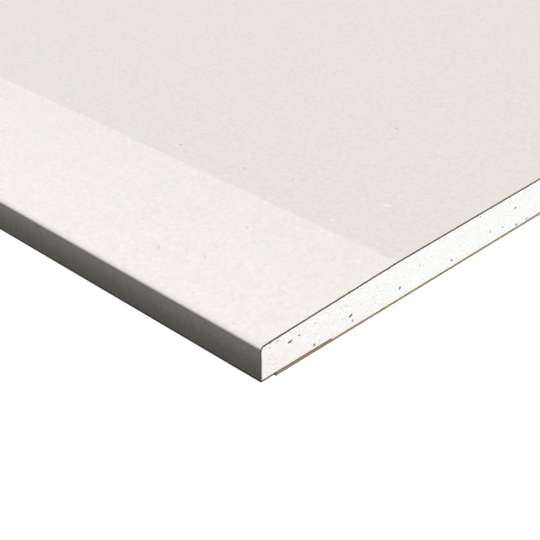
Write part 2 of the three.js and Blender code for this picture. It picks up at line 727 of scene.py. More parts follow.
@dataclass(frozen=True)
class PaintedVoidShade:
    """Painted shade of air voids drawn on an upright cut, one to a chosen cell, from the least radius to the
    largest.
    """

    spacing: float
    share: float
    least: float
    largest: float
    waver: float
    waver_size: float
    core: float  # the share of its radius within which a void's painted shade is full

    def cover(self, tree: Tree, place: Socket, shown: Socket) -> Socket:
        """Works out how much the voids' painted shade covers. Noise bends the grid, so that their rims
        waver.

        Args:
            tree: the node tree.
            place: coordinates in millimetres.
            shown: how strong the voids' painted shade is at each place.

        Returns:
            The cover, from 0 to that strength.
        """
        upright = add(tree, "Mapping", {"Vector": place, "Rotation": (math.pi / 2, 0.0, 0.0)}).outputs[0]
        lumps = {"Vector": place, "Scale": 1 / self.waver_size, "Detail": 1.0}
        noise = add(tree, "TexNoise", lumps).outputs["Color"]
        shift = {0: noise, 1: (self.waver, self.waver, 0.0), 2: upright}
        bent = add(tree, "VectorMath", shift, operation="MULTIPLY_ADD").outputs[0]
        grid = {"Vector": bent, "Scale": 1 / self.spacing}
        cells = add(tree, "TexVoronoi", grid, voronoi_dimensions="2D")
        chance, scale, _ = add(tree, "SeparateXYZ", {0: cells.outputs["Color"]}).outputs
        chosen = add(tree, "Math", {0: chance, 1: self.share}, operation="LESS_THAN").outputs[0]
        radii = {3: self.least / self.spacing, 4: self.largest / self.spacing}
        rim = add(tree, "MapRange", {0: scale} | radii).outputs[0]
        core = add(tree, "Math", {0: rim, 1: self.core}, operation="MULTIPLY").outputs[0]
        most = add(tree, "Math", {0: chosen, 1: shown}, operation="MULTIPLY").outputs[0]
        fade = {0: cells.outputs["Distance"], 1: rim, 2: core, 3: 0.0, 4: most}
        return add(tree, "MapRange", fade).outputs[0]


# ---- Finishes ----


@dataclass(frozen=True)
class Finish(ABC):
    """What every finish shares: a name, and one Principled shader."""

    name: str

    def material(self) -> Material:
        """Builds the finish.

        Returns:
            The material.
        """
        material = bpy.data.materials.new(self.name)
        material.use_nodes = True
        tree = material.node_tree
        tree.nodes.clear()
        shader = add(tree, "BsdfPrincipled", self.sockets(tree))
        add(tree, "OutputMaterial", {"Surface": shader.outputs[0]})
        return material

    @abstractmethod
    def sockets(self, tree: Tree) -> Inputs:
        """Gives a socket or a plain value for each of the shader's inputs."""


@dataclass(frozen=True)
class GrainedFinish(Finish):
    """What the sheet's papers and gypsum share: a dull, grained surface whose colour is worked out in mm."""

    ROUGHNESS: ClassVar[float]
    IOR: ClassVar[float]
    SPECULAR: ClassVar[float]
    GRAIN: ClassVar[Grain]

    def sockets(self, tree: Tree) -> Inputs:
        """Gives what the shader takes.

        Args:
            tree: the node tree.

        Returns:
            The finish's colour and relief as sockets, and its plain values.
        """
        place = self.place(tree)
        return {
            "Base Color": self.colour(tree, place),
            "Roughness": self.ROUGHNESS,
            "IOR": self.IOR,
            "Specular IOR Level": self.SPECULAR,
            "Normal": self.GRAIN.normal(tree, place),
        }

    def place(self, tree: Tree) -> Socket:
        """Gives the piece's Object coordinates in millimetres."""
        metres = add(tree, "TexCoord").outputs["Object"]
        return add(tree, "VectorMath", {0: metres, 3: 1 / MM}, operation="SCALE").outputs[0]

    @staticmethod
    def mottled(tree: Tree, place: Socket, colour: Socket, mottles: tuple[Mottle, ...]) -> Socket:
        """Multiplies a colour by the layers of some mottles.

        Args:
            tree: the node tree.
            place: coordinates in millimetres.
            colour: the even colour.
            mottles: the mottles.

        Returns:
            The mottled colour.
        """
        for mottle in mottles:
            layer = mottle.layer(tree, place)
            colour = add(tree, "VectorMath", {0: colour, 1: layer}, operation="MULTIPLY").outputs[0]
        return colour

    @staticmethod
    def layered(
        tree: Tree, colour: Socket | Colour, layers: Iterable[tuple[Socket, str]], blend: str = "MIX"
    ) -> Socket:
        """Lays tints over a colour, one after the other.

        Args:
            tree: the node tree.
            colour: the colour under them.
            layers: how much of each tint covers what is under it, and the tint.
            blend: how the tints and the colour blend.

        Returns:
            The colour on top.
        """
        for cover, tint in layers:
            laid = {0: cover, 6: colour, 7: linear(tint)}
            colour = add(tree, "Mix", laid, data_type="RGBA", blend_type=blend).outputs[2]
        return colour

    @abstractmethod
    def colour(self, tree: Tree, place: Socket) -> Socket:
        """Works out the colour over a place in millimetres."""


@dataclass(frozen=True)
class LinerPaper(GrainedFinish):
    """Ivory liner board, pressed and dried on the board line.

    To the eye it is matt and faintly cloudy, with a few stray flecks and fibres of the recycled stock. Its
    colour holds painted light, lighter over the taper, and painted shade round the shoulder, down the edge
    and on the foot, with a painted highlight on the shoulder's crown. Its place is the way round the
    section from the middle of the face and the way along the board, in millimetres.
    """

    wrap: Landmarks
    corner: tuple[float, float]
    field: str = "e6e1db"

    # Typical of uncoated paper: cellulose of IOR 1.47, with hardly any gloss.
    ROUGHNESS: ClassVar[float] = 0.82
    IOR: ClassVar[float] = 1.47
    SPECULAR: ClassVar[float] = 0.25
    # Fibres are 0.03 mm thick, too fine to show: they are drawn 0.45 mm wide, in clumps.
    GRAIN: ClassVar[Grain] = Grain(size=0.45, octaves=5.0, strength=0.35, height=0.03, harshness=0.65)
    CLOUDS: ClassVar = (
        Mottle((9.0, 9.0, 1.0), 3.0, 0.990, 1.010),  # uneven drying
        Mottle((1.5, 1.5, 1.0), 3.0, 0.948, 1.052, twist=0.8),  # flocks of pulp, drawn out into worms
        Mottle((0.4, 0.45, 1.0), 2.0, 0.955, 1.045),  # fibre ends, as coarse as they need to show
        Mottle((3.0, 50.0, 1.0), 2.0, 0.994, 1.006),  # the rollers' streaks along the board
    )
    SCUFFS: ClassVar = (
        Mottle((2.0, 3.3, 1.0), 2.0, 0.95, 1.05),  # rubbed patches of the edge
        Mottle((0.65, 1.1, 1.0), 2.0, 0.89, 1.11),  # the nap that the folding raised there
    )
    SCUFF_REACH: ClassVar[float] = 0.5  # over this much each side of the shoulder the scuffs come in
    BARK: ClassVar[str] = "75695a"
    SHIVE: ClassVar[str] = "fffaf3"
    HAIR: ClassVar[str] = "a39a8d"
    # By length, width, colour, strength, spacing, share and shift.
    STRAYS: ClassVar = (
        Stray(1.0, 0.6, BARK, 0.32, 26.0, 0.35),
        Stray(0.7, 0.4, "a89f92", 0.40, 11.0, 0.30, 30.9),  # grey specks of old print
        Stray(2.6, 0.6, SHIVE, 0.55, 34.0, 0.40, 72.1),
        Stray(7.0, 0.3, "b7ada0", 0.28, 28.0, 0.45, 133.9),  # paler hairs
    )
    # By length, width, colour, strength, and the place across and along the board.
    MARKS: ClassVar = (
        Mark(1.9, 0.95, BARK, 0.42, 57.2, 95.9),
        Mark(1.9, 0.95, BARK, 0.30, 59.4, 69.1),
        Mark(1.7, 0.85, BARK, 0.28, 63.9, 53.3),
        Mark(1.8, 0.90, BARK, 0.23, 36.7, 43.4),
        Mark(1.8, 0.90, BARK, 0.22, 19.1, 41.4),
        Mark(2.6, 1.3, BARK, 0.20, 14.0, 54.6),
        Mark(2.4, 1.2, BARK, 0.24, 108.1, 52.6),
        Mark(1.9, 0.95, SHIVE, 0.65, 65.6, 73.7),
        Mark(3.2, 1.2, SHIVE, 0.74, 70.4, 22.3, turn=-50.0),
        Mark(18.0, 0.6, HAIR, 0.12, 14.9, 42.7, turn=-72.0, bend=1.7),
        Mark(8.0, 0.6, HAIR, 0.10, 34.4, 32.6, turn=-71.0, bend=2.0),
    )

    def place(self, tree: Tree) -> Socket:
        """Gives the wrap map's coordinates in millimetres."""
        metres = add(tree, "UVMap", uv_map="wrap").outputs[0]
        return add(tree, "VectorMath", {0: metres, 3: 1 / MM}, operation="SCALE").outputs[0]

    def tones(self) -> tuple[Tone, ...]:
        """Lists the tones that follow the field's, by the distance from the middle of the face: painted
        light on the taper, and painted shade and a painted highlight round the shoulder, down the edge and
        on the foot.

        Returns:
            The tones, from the crease outwards.
        """
        crease, shoulder, foot = astuple(self.wrap)
        middle = (shoulder + foot) / 2
        return (
            Tone(crease - 0.4, crease + 0.4, "efeae4"),  # the crease, 0.8 mm wide, where the painted light on the taper begins
            Tone(crease + 0.4, shoulder - 4.0, "f3eee8", Fade.EVEN),  # painted light on the taper, growing evenly towards the shoulder
            Tone(shoulder - 2.5, shoulder - 1.8, "f0ebe5"),  # painted shade where the shoulder starts to turn
            Tone(shoulder - 1.9, shoulder - 1.25, "fffaf3"),  # a painted highlight on its crown
            Tone(shoulder - 1.07, shoulder - 0.3, "a49a93"),  # painted shade on its outer side
            Tone(shoulder - 0.3, shoulder + 0.25, "c3bcb3"),  # a paler line below that, between the painted shades
            Tone(shoulder + 0.4, middle, "9f988f", Fade.EVEN),  # painted shade over the edge's upper half
            Tone(middle, foot, "7c796f", Fade.EVEN),  # painted shade over its lower half, darker towards the bottom
            Tone(foot - 0.5, foot - 0.2, "1c1b19"),  # painted shade on the foot's fold, next to the floor
            Tone(foot + 0.45, foot + 1.0, "aaa49b"),  # the flap
        )

    def colour(self, tree: Tree, place: Socket) -> Socket:
        """Lays the tones, with their painted light and shade, the clouds, the edge's scuffs, the strays and
        the marks over the field's colour.

        Args:
            tree: the node tree.
            place: coordinates in millimetres.

        Returns:
            The colour.
        """
        round_way = add(tree, "SeparateXYZ", {0: place}).outputs[0]
        distance = add(tree, "Math", {0: round_way}, operation="ABSOLUTE").outputs[0]
        tones = [(tone.cover(tree, distance), tone.colour) for tone in self.tones()]
        colour = self.layered(tree, linear(self.field), tones)
        colour = self.mottled(tree, place, colour, self.CLOUDS)
        scuffed = self.mottled(tree, place, colour, self.SCUFFS)
        limits = {1: self.wrap.shoulder - self.SCUFF_REACH, 2: self.wrap.shoulder + self.SCUFF_REACH}
        on_edge = add(tree, "MapRange", {0: distance} | limits).outputs[0]
        colour = add(tree, "Mix", {0: on_edge, 6: colour, 7: scuffed}, data_type="RGBA").outputs[2]
        flecks = [(stray.cover(tree, place), stray.colour) for stray in self.STRAYS]
        flecks += [(mark.cover(tree, place, self.corner), mark.colour) for mark in self.MARKS]
        return self.layered(tree, colour, flecks)


@dataclass(frozen=True)
class CutPaper(GrainedFinish):
    """The sawn edge of a recycled paper board.

    To the eye it is dull and darker than its face, in fine torn plies, with gypsum dust in the innermost
    one and painted shade where the papers meet. It reads three attributes of the piece: ply runs from 0
    outside to 1 against the core, kraft is 1 where the plies are the brown kind, and seam_shade is 1 where
    the painted shade is darkest.
    """

    grey: tuple[str, str] = ("4b4541", "645e57")
    brown: tuple[str, str] = ("685c4e", "918369")
    bonded: str = "b3afa8"
    fluff: str = "cdbda6"
    # The colour of the painted shade where the papers meet, also laid on the upright edge's outer ply.
    seam_shade: str = "37321f"
    rubbed: float = 0.0  # how much fluff covers the outermost ply

    # Typical of torn paper: the same cellulose, with no gloss at all.
    ROUGHNESS: ClassVar[float] = 0.95
    IOR: ClassVar[float] = 1.47
    SPECULAR: ClassVar[float] = 0.1
    # Torn fibre ends are 0.1 mm, too fine to show: they are drawn as tufts of 0.42 mm.
    GRAIN: ClassVar[Grain] = Grain(size=0.42, octaves=4.0, strength=0.6, height=0.08)
    PLY_WAVE: ClassVar[float] = 18.0  # radians through the paper: three plies of 0.2 mm, where there are six
    TEAR: ClassVar[float] = 9.0  # how many radians the tufts shift the plies by

    def tones(self) -> tuple[tuple[str, Tone], ...]:
        """Lists what lies over the plies.

        Returns:
            The gypsum bonded to the inside, the fluff that the saw raised outside, and the painted shade
            where the papers meet, each after the name of the attribute that it comes in with.
        """
        return (
            ("ply", Tone(0.7, 1.0, self.bonded, Fade.EVEN, most=0.7)),
            ("ply", Tone(0.0, 0.35, self.fluff, Fade.EVEN, least=self.rubbed, most=0.0)),
            # painted shade where the papers meet
            ("seam_shade", Tone(0.0, 1.0, self.seam_shade, Fade.EVEN, most=0.75)),
        )

    def colour(self, tree: Tree, place: Socket) -> Socket:
        """Lays the tones over the plies, which go from dark to light by the sine of how far in they lie.

        Args:
            tree: the node tree.
            place: coordinates in millimetres.

        Returns:
            The colour.
        """
        names = ("ply", "kraft", "seam_shade")
        read = {name: add(tree, "Attribute", attribute_name=name).outputs["Fac"] for name in names}
        even = add(tree, "Math", {0: read["ply"], 1: self.PLY_WAVE}, operation="MULTIPLY").outputs[0]
        torn = {0: self.GRAIN.lumps(tree, place), 1: self.TEAR, 2: even}
        plies = add(tree, "Math", torn, operation="MULTIPLY_ADD").outputs[0]
        wave = add(tree, "Math", {0: plies}, operation="SINE").outputs[0]
        share = add(tree, "MapRange", {0: wave, 1: -1.0, 2: 1.0}).outputs[0]
        grey, brown = (
            self.layered(tree, linear(dark), [(share, light)]) for dark, light in (self.grey, self.brown)
        )
        colour = add(tree, "Mix", {0: read["kraft"], 6: grey, 7: brown}, data_type="RGBA").outputs[2]
        tones = [(tone.cover(tree, read[name]), tone.colour) for name, tone in self.tones()]
        return self.layered(tree, colour, tones)


@dataclass(frozen=True)
class CastGypsum(GrainedFinish):
    """Foamed gypsum, cast between the papers and sawn.

    To the eye it is chalk white and matt, sugary with crystals, denser and a little warmer at the long
    edges, with grey grains and air voids whose dark insides are painted shade. Half of the sheet's width
    and the height of the core's bed are in millimetres.
    """

    half_width: float
    bed: float
    dense: str = "faf3f0"
    foamed: str = "fefefc"
    grain: str = "aba6a8"
    starch: str = "fffaf5"
    paste: str = "6e604d"
    # The painted shade inside the air voids and pits.
    void_shade: str = "0c0b0b"

    # Typical of set gypsum: IOR 1.52, with a powdery, glossless surface.
    ROUGHNESS: ClassVar[float] = 0.95
    IOR: ClassVar[float] = 1.52
    SPECULAR: ClassVar[float] = 0.1
    # Crystals are 0.02 mm, too fine to show: they are drawn as grit of 0.28 mm.
    GRAIN: ClassVar[Grain] = Grain(size=0.28, octaves=4.0, strength=0.5, height=0.08, harshness=0.6)
    CHALK: ClassVar = (
        Mottle((2.0, 2.0, 2.0), 3.0, 0.98, 1.0),  # uneven setting
        Mottle((0.36, 0.36, 0.36), 2.0, 0.76, 1.0, low=0.25, high=0.54),  # pores between the foam's bubbles
    )
    # By spacing, radius, share and strength.
    SPECKS: ClassVar = (
        Speck(0.8, 0.22, 0.5, 0.22),  # sand
        Speck(1.7, 0.30, 0.45, 0.40),  # impurities of the rock
        Speck(4.5, 0.42, 0.5, 0.6),  # unburnt lumps
    )
    # The gypsum turns from dense to foamed between these distances in from the edge, and that much
    # nearer to it for each millimetre up.
    FOAM: ClassVar = (5.0, 65.0)
    FOAM_SLANT: ClassVar[float] = -3.0
    # Starch warms the core's bottom: it fades out between these heights over the bed, and comes in
    # between these distances from the edge.
    STARCH_HEIGHT: ClassVar = (0.8, 1.8)
    STARCH_REACH: ClassVar = (4.5, 6.5)
    # The back paper's paste has soaked in, and fades out between these heights over the bed.
    PASTE_HEIGHT: ClassVar = (0.09, 0.20)
    PASTE: ClassVar[float] = 0.9
    DRAWN_VOID_SHADE: ClassVar = PaintedVoidShade(
        spacing=5.5, share=0.38, least=0.22, largest=0.52, waver=1.1, waver_size=0.9, core=0.6
    )
    # The drawn voids' painted shade takes over between these distances from the left edge, where the mesh
    # gets coarse.
    HANDOVER: ClassVar = (64.0, 66.0)
    # How strong the drawn voids' painted shade is.
    DRAWN_SHADE: ClassVar[float] = 0.95

    def colour(self, tree: Tree, place: Socket) -> Socket:
        """Lays the grains, the starch, the paste and the voids' painted shade over the mottled chalk.

        The painted shade of the mesh's own pits and voids is read from the piece's void attribute.

        Args:
            tree: the node tree.
            place: coordinates in millimetres.

        Returns:
            The colour.
        """
        across, _, height = add(tree, "SeparateXYZ", {0: place}).outputs
        aside = add(tree, "Math", {0: across}, operation="ABSOLUTE").outputs[0]
        slant = {0: height, 1: self.FOAM_SLANT, 2: aside}
        lowered = add(tree, "Math", slant, operation="MULTIPLY_ADD").outputs[0]
        near, deep = (self.half_width - reach for reach in self.FOAM)
        foam = add(tree, "MapRange", {0: lowered, 1: near, 2: deep}).outputs[0]
        colour = self.layered(tree, linear(self.dense), [(foam, self.foamed)])
        colour = self.mottled(tree, place, colour, self.CHALK)
        grains = [(speck.cover(tree, place), self.grain) for speck in self.SPECKS]
        colour = self.layered(tree, colour, grains)

        near, deep = (self.half_width - reach for reach in self.STARCH_REACH)
        inside = add(tree, "MapRange", {0: aside, 1: near, 2: deep}).outputs[0]
        low, high = (self.bed + rise for rise in self.STARCH_HEIGHT)
        warmed = add(tree, "MapRange", {0: height, 1: low, 2: high, 3: inside, 4: 0.0}).outputs[0]
        colour = self.layered(tree, colour, [(warmed, self.starch)], blend="MULTIPLY")

        low, high = (self.bed + rise for rise in self.PASTE_HEIGHT)
        soaked = add(tree, "MapRange", {0: height, 1: low, 2: high, 3: self.PASTE, 4: 0.0}).outputs[0]
        near, far = (reach - self.half_width for reach in self.HANDOVER)
        shown = add(tree, "MapRange", {0: across, 1: near, 2: far, 4: self.DRAWN_SHADE}).outputs[0]
        # Painted shade: the drawn voids where the mesh is coarse, and the mesh's own pits and voids.
        drawn = self.DRAWN_VOID_SHADE.cover(tree, place, shown)
        modelled_void_shade = add(tree, "Attribute", attribute_name="void").outputs["Fac"]
        paste_and_void_shade = [(soaked, self.paste), (drawn, self.void_shade), (modelled_void_shade, self.void_shade)]
        return self.layered(tree, colour, paste_and_void_shade)


@dataclass(frozen=True)
class KraftPaper(GrainedFinish):
    """Unbleached recycled liner, pressed on the board line.

    To the eye it is grey-brown and matt, with light and dark fibres along the board.
    """

    stock: str = "a19280"
    dark: str = "7d6f5e"
    light: str = "bfb19d"

    # Typical of uncoated paper, a little duller than the face's.
    ROUGHNESS: ClassVar[float] = 0.9
    IOR: ClassVar[float] = 1.47
    SPECULAR: ClassVar[float] = 0.2
    # Its fibres are coarser than the face's, in clumps of 0.5 mm.
    GRAIN: ClassVar[Grain] = Grain(size=0.5, octaves=5.0, strength=0.4, height=0.04)
    # Bundles of fibres, 6 and 4.5 mm long. They are drawn 1.1 and 0.6 mm wide, several times the real width.
    DARK_FIBRES: ClassVar[Mottle] = Mottle((1.1, 6.0, 1.1), 5.0, 0.0, 0.5, low=0.5, high=0.75)
    LIGHT_FIBRES: ClassVar[Mottle] = Mottle((0.6, 4.5, 0.6), 5.0, 0.0, 0.45, low=0.5, high=0.75)

    def colour(self, tree: Tree, place: Socket) -> Socket:
        """Lays the dark and the light fibres over the stock's tone.

        Args:
            tree: the node tree.
            place: coordinates in millimetres.

        Returns:
            The colour.
        """
        kinds = ((self.DARK_FIBRES, self.dark), (self.LIGHT_FIBRES, self.light))
        fibres = [(kind.layer(tree, place), tint) for kind, tint in kinds]
        return self.layered(tree, linear(self.stock), fibres)


@dataclass(frozen=True)
class LightTable(Finish):
    """Opal acrylic lit from below: matt and white, so that shadows on it are faint."""

    tone: str = "959595"
    glow: float = 0.93
    roughness: float = 0.9

    def sockets(self, tree: Tree) -> Inputs:
        """Gives what the shader takes.

        Args:
            tree: the node tree, which needs nothing more.

        Returns:
            The finish's plain values.
        """
        return {
            "Base Color": linear(self.tone),
            "Roughness": self.roughness,
            "Specular IOR Level": 0.0,
            "Emission Color": WHITE,
            "Emission Strength": self.glow,
        }


# ---- The sheet's pieces ----


@dataclass(frozen=True)
class Void:
    """An air void that the saw has opened, by its place on an end and its size, in millimetres."""

    across: float
    height: float
    length: float
    width: float
    tilt: float  # in degrees
    depth: float  # as a share of the deepest

    # The rim wavers by up to half of this each way, in lumps of this size, wherever r^2 is less than this.
    WAVER: ClassVar[float] = 0.6
    WAVER_CELL: ClassVar[float] = 0.3
    WAVER_REACH: ClassVar[float] = 2.0
    WAVER_SEED: ClassVar[int] = 31

    def bowl(self, x: np.ndarray, z: np.ndarray) -> np.ndarray:
        """Works out an ellipse's bowl, 1 - r^2, with a wavering rim.

        Args:
            x: distance in from the left edge, in millimetres.
            z: height, in millimetres.

        Returns:
            1 at the middle, 0 from the rim outwards.
        """
        c, s = math.cos(math.radians(self.tilt)), math.sin(math.radians(self.tilt))
        along_it = ((x - self.across) * c + (z - self.height) * s) / (self.length / 2)
        across_it = ((z - self.height) * c - (x - self.across) * s) / (self.width / 2)
        waver = self.WAVER * (smooth_noise(x, z, self.WAVER_CELL, self.WAVER_SEED) - 0.5)
        wavering = along_it ** 2 + across_it ** 2 < self.WAVER_REACH
        return np.clip(1 - along_it ** 2 - across_it ** 2 + waver * wavering, 0, 1)


@dataclass(frozen=True)
class SawnFace:
    """The relief of a cut end: how far each point of the core stands back, with its sizes in millimetres."""

    end: End
    fine: float  # the mesh's spacing where it is fine
    # The rough skin's depth, and the sizes of its lumps.
    skin: float = 0.05
    skin_cells: tuple[float, float] = (0.5, 2.0)
    # The small pits' cell, radius and share, how deep they are and how much painted shade they get, and
    # between which spacings of the mesh, in fine ones, they fade out.
    pit_grid: tuple[float, float, float] = (1.5, 0.28, 0.5)
    pit_depth: float = 0.25
    pit_shade: float = 0.35
    pit_fade: tuple[float, float] = (1.0, 3.0)
    # A large void's greatest depth, and the share of its bowl over which its painted shade comes in from the
    # rim.
    void_depth: float = 0.8
    void_rim: float = 0.1

    SEEDS: ClassVar = {End.NEAR: 11, End.FAR: 53}
    # By the place across and up, length, width, tilt and depth.
    NEAR_VOIDS: ClassVar = (
        Void(3.6, 9.2, 0.45, 0.4, 0, 0.45),
        Void(4.1, 10.55, 0.9, 0.55, 10, 1.0),
        Void(6.4, 9.7, 1.4, 0.5, 5, 0.6),
        Void(10.65, 7.5, 1.65, 0.78, 13, 1.0),
        Void(13.8, 7.82, 0.85, 0.36, -50, 1.0),
        Void(18.85, 2.15, 0.82, 0.68, 10, 1.0),
        Void(19.65, 8.4, 0.6, 0.5, 0, 0.7),
        Void(28.9, 8.4, 0.5, 0.35, 0, 0.5),
        Void(29.1, 4.9, 0.45, 0.4, 0, 0.6),
        Void(30.7, 8.1, 0.4, 0.4, 0, 0.5),
        Void(32.2, 4.35, 1.5, 0.85, 25, 1.0),
        Void(32.85, 2.58, 0.58, 0.56, 0, 1.0),
        Void(46.7, 11.7, 1.1, 0.5, 4, 0.8),
        Void(51.1, 3.78, 1.05, 0.85, 40, 1.0),
        Void(58.95, 7.1, 0.75, 0.55, 30, 0.65),
    )
    # The least and the most of each of a far void's measures.
    FAR_LIMITS: ClassVar = (Void(3.0, 2.3, 0.4, 0.35, -50.0, 0.5), Void(61.0, 9.8, 1.6, 0.85, 50.0, 1.0))
    FAR_SEED: ClassVar[int] = 29

    def relief(
        self, across: np.ndarray, height: np.ndarray, spacing: np.ndarray
    ) -> tuple[np.ndarray, np.ndarray]:
        """Works out the relief: a rough sawn skin, small scattered pits and the large voids.

        The depth is the skin's plus the pits', or a large void's share of sqrt(bowl) where that is more.
        The pits fade out where the mesh is too coarse to hold them.

        Args:
            across: distance in from the left edge, in millimetres.
            height: height, in millimetres.
            spacing: the mesh's spacing at each point, in millimetres.

        Returns:
            How far each point stands back in millimetres, and how much painted shade its pit or void gets,
            from 0 to 1.
        """
        seed = self.SEEDS[self.end]
        skins = [smooth_noise(across, height, cell, seed + k) for k, cell in enumerate(self.skin_cells)]
        held = np.interp(spacing / self.fine, self.pit_fade, (1.0, 0.0))
        pits = held * scattered_pits(across, height, *self.pit_grid, seed + len(skins))
        back = self.skin * sum(skins) + self.pit_depth * pits
        # Painted shade in the pits and the large voids.
        dark = self.pit_shade * pits
        for void in self.voids():
            bowl = void.bowl(across, height)
            back = np.maximum(back, self.void_depth * void.depth * np.sqrt(bowl))
            dark = np.maximum(dark, void.depth * np.clip(bowl / self.void_rim, 0, 1))
        return back, dark

    def voids(self) -> tuple[Void, ...]:
        """Lists the large voids: the near end has its own, and the far end has as many at random.

        Returns:
            The voids, all in the part of the end where the mesh is fine.
        """
        if self.end is End.NEAR:
            return self.NEAR_VOIDS
        least, most = (np.array(astuple(limit)) for limit in self.FAR_LIMITS)
        draws = np.random.default_rng(self.FAR_SEED).random((len(self.NEAR_VOIDS), least.size))
        return tuple(Void(*row) for row in (least + draws * (most - least)).tolist())


@dataclass(frozen=True)
class FacePaper:
    """The ivory face paper: one sheet over the face, round both long edges and back under as flaps."""

    sizes: BoardSizes
    fine: float = 0.6 * MM
    reach: float = 70 * MM
    right_fine: float = 2.5 * MM
    right_reach: float = 10 * MM
    ragged: float = 0.10 * MM
    ragged_cell: float = 0.8  # the size of the cut ends' tufts, in millimetres
    ragged_seed: int = 5
    # The sections' first steps and how far those go, the longest step, and the last one, which is short
    # because the far end's raggedness fades over it.
    row_fine: float = 0.8 * MM
    row_reach: float = 4 * MM
    row_coarse: float = 40 * MM
    row_last: float = 2 * MM
    # Flap is what lies lower than this many of the paper's own thicknesses over the back paper, and the
    # upright edge is what lies higher than that many, up to the shoulder's fold.
    flap_share: float = 1.2
    edge_share: float = 1.5
    foot_share: float = 0.5  # the foot's bare underside ends at this share of its fold's radius
    # How much more dust the inside holds for each millimetre down the edge, how much less on the flap and
    # at the bare foot, and how much the foot's outside holds.
    dust: float = 0.09
    flap_clean: float = 0.07
    foot_clean: float = 0.06
    foot_dust: float = 0.68
    # How far the painted shade where the papers meet reaches along the paper from the back paper's edge,
    # and how much of that dark tone the upright edge's outer ply gets.
    seam_shade_reach: float = 0.7 * MM
    edge_darkening: float = 0.4

    def build(self) -> Piece:
        """Carries the paper's closed section along the board.

        Point (i, k) of the tube is section point k at row i. The two cut ends join the outer line to the
        inner one, and their points stand back a little at random, as a saw leaves them.

        Returns:
            The finished piece.
        """
        wrap = Wrap(self.sizes)
        left = wrap.stations(self.fine, self.reach)
        right = wrap.stations(self.right_fine, self.right_reach)
        outer = wrap.whole(0.0, left, right)
        inner = wrap.whole(self.sizes.face_paper, left, right)
        x, z = np.concatenate([outer, inner[::-1]]).T
        rows = self.rows()
        points = np.stack(np.broadcast_arrays(x, rows[:, None], z), axis=-1)
        for row, end in ((0, End.NEAR), (-1, End.FAR)):
            back = smooth_noise(x / MM, z / MM, self.ragged_cell, self.ragged_seed + end.value)
            points[row, :, 1] -= end.value * self.ragged * back
        index = np.arange(len(rows) * len(x)).reshape(len(rows), -1)
        size = len(outer)
        near, far = (grid_quads(np.stack([ring[:size], ring[:size - 1:-1]])) for ring in index[[0, -1]])
        faces = [grid_quads(index, closed=True)[:, ::-1], np.concatenate([near, far[:, ::-1]])]
        corner = (-self.sizes.width / 2 / MM, -self.sizes.length / 2 / MM)
        finishes = [
            LinerPaper("ivory_liner_paper", wrap.landmarks(), corner).material(),
            CutPaper("sawn_grey_paper").material(),
        ]
        piece = make_piece("face_paper_wrap", points.reshape(-1, 3), faces, finishes)
        set_uv(piece, "wrap", self.unfolded(outer, rows))
        for name, values in self.attributes(outer, inner).items():
            set_attribute(piece, name, np.tile(values, len(rows)))
        return piece

    def rows(self) -> np.ndarray:
        """Places the sections along the board, close together at the near end.

        Returns:
            Their distances from the origin, from the near end to the far one.
        """
        half = self.sizes.length / 2
        run = graded(self.sizes.length - self.row_last, self.row_fine, self.row_coarse, self.row_reach)
        return np.concatenate([run - half, [half]])

    @staticmethod
    def unfolded(outer: np.ndarray, rows: np.ndarray) -> np.ndarray:
        """Unfolds the sheet: the way round its outer line from the middle of the face, and along the board.

        Args:
            outer: the outer line's points.
            rows: the sections' places along the board.

        Returns:
            Both coordinates in metres, one row for each vertex.
        """
        ring = run_length(outer)
        ring -= ring[np.abs(outer[:, 0]).argmin()]
        round_way = np.concatenate([ring, ring[::-1]])
        return np.stack(np.broadcast_arrays(round_way, rows[:, None]), axis=-1).reshape(-1, 2)

    def attributes(self, outer: np.ndarray, inner: np.ndarray) -> dict[str, np.ndarray]:
        """Works out what the cut paper reads at each point of the section.

        ply is 0 outside and 1 inside, plus the dust, which grows evenly down the upright edge. kraft is 1
        where the back paper lies underneath. seam_shade, the painted shade where the papers meet, falls
        evenly from 1 at the back paper's edge to 0 at its reach, and is the same all over the upright edge.

        Args:
            outer: the outer line's points.
            inner: the inner line's points, each opposite an outer one.

        Returns:
            The values by the attribute's name.
        """
        s = self.sizes
        aside, height = np.abs(outer[:, 0]), inner[:, 1]
        shoulder_height = s.thickness - s.taper_depth
        flap_top = s.back_paper + self.flap_share * s.face_paper
        upright = height < shoulder_height - s.shoulder_radius
        upright &= height > s.back_paper + self.edge_share * s.face_paper
        bare = s.width / 2 - aside < s.setback
        bare &= outer[:, 1] < s.back_paper + self.foot_share * s.foot_radius
        dust = self.dust * (shoulder_height - s.back_paper - height) / MM * upright
        inside = 1 + dust - self.flap_clean * (height < flap_top) - self.foot_clean * bare
        section = np.concatenate([outer, inner[::-1]])
        lapped = s.width / 2 - s.setback - np.abs(section[:, 0])
        under = section[:, 1] < flap_top
        # Painted shade where the flap meets the back paper's edge, and the same dark tone on the upright
        # edge's outer ply.
        seam_shade = under * np.clip(1 - np.abs(lapped) / self.seam_shade_reach, 0, 1)
        seam_shade[:len(outer)] += self.edge_darkening * upright
        ply = np.concatenate([self.foot_dust * bare, inside[::-1]])
        return {"ply": ply, "kraft": under * (lapped > 0), "seam_shade": seam_shade}


